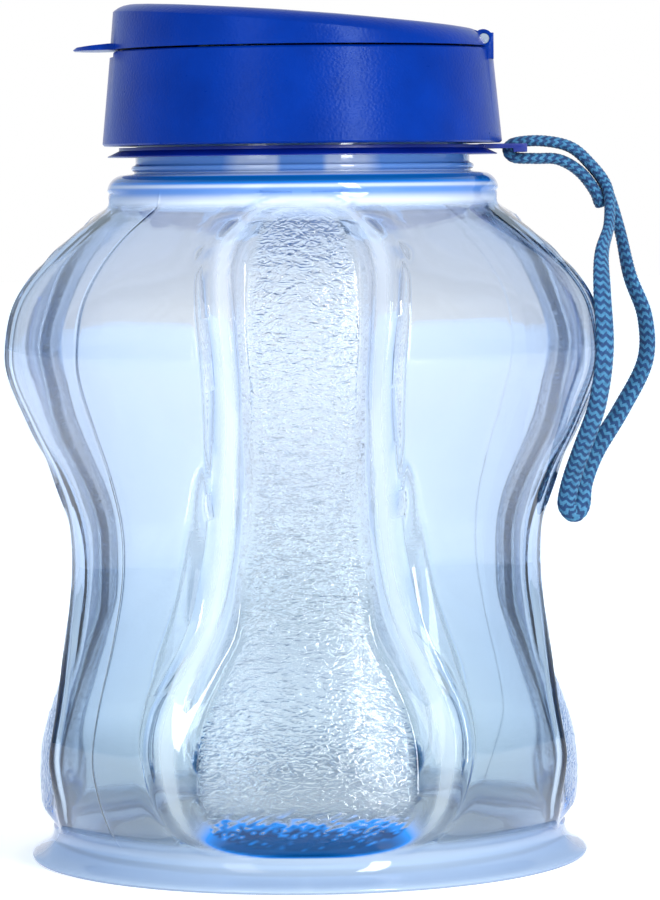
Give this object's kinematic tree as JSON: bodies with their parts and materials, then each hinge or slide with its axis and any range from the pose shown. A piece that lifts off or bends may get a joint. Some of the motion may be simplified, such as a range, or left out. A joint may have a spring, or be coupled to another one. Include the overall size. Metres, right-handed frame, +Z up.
{
  "type": "flip-top drinking bottle",
  "caption": "Waisted translucent drinking bottle with grip panels, a screw cap with a hinged flip lid, and a swivelling strap ring with a braided wrist cord.",
  "frame": {"origin": "centre of the foot, on the surface that the bottle stands on", "axes": "+Z up along the bottle; the lid's hinge and the wrist cord are on +X, the thumb tab on -X, and a grip panel faces -Y"},
  "size_m": [0.1027, 0.095, 0.1357],
  "materials": {
    "bottle_plastic": "translucent pale blue moulded plastic, glossy, with textured panels",
    "cap_plastic": "opaque royal blue with a fine moulded grain",
    "ring_plastic": "opaque dark blue, smooth",
    "cord_braid": "flat braid of mid blue and pale cyan yarns",
    "silicone": "milky translucent silicone",
    "spout_plastic": "pale blue white, smooth",
    "pin_steel": "drawn stainless wire"
  },
  "bodies": {
    "bottle": {"bottle_base": "bottle_plastic", "bottle_lower": "bottle_plastic", "bottle_upper": "bottle_plastic", "bottle_neck": "bottle_plastic"},
    "ring": {"strap_ring": "ring_plastic", "wrist_cord": "cord_braid"},
    "gasket": {"cap_gasket": "silicone"},
    "cap": {"screw_cap": "cap_plastic", "mouthpiece": "spout_plastic", "vent_valve": "silicone", "hinge_pin": "pin_steel"},
    "lid": {"flip_lid": "cap_plastic", "lid_plug": "silicone"}
  },
  "joints": [
    {"name": "ring_swivel", "type": "hinge", "parent": "bottle", "child": "ring", "pos_m": [0, 0, 0.1122], "axis": [0, 0, 1], "continuous": true},
    {"name": "cap_lift", "type": "slide", "parent": "bottle", "child": "gasket", "axis": [0, 0, 1], "range_m": [0, 0.0104]},
    {"name": "cap_turn", "type": "hinge", "parent": "gasket", "child": "cap", "pos_m": [0, 0, 0.12], "axis": [0, 0, 1], "range_deg": [0, 720]},
    {"name": "lid_hinge", "type": "hinge", "parent": "cap", "child": "lid", "pos_m": [0.0288, 0, 0.1296], "axis": [0, 1, 0], "range_deg": [0, 130]}
  ],
  "couplings": [
    {"joint": "cap_lift", "follows": "cap_turn", "m_per_rad": 0.00082761}
  ]
}
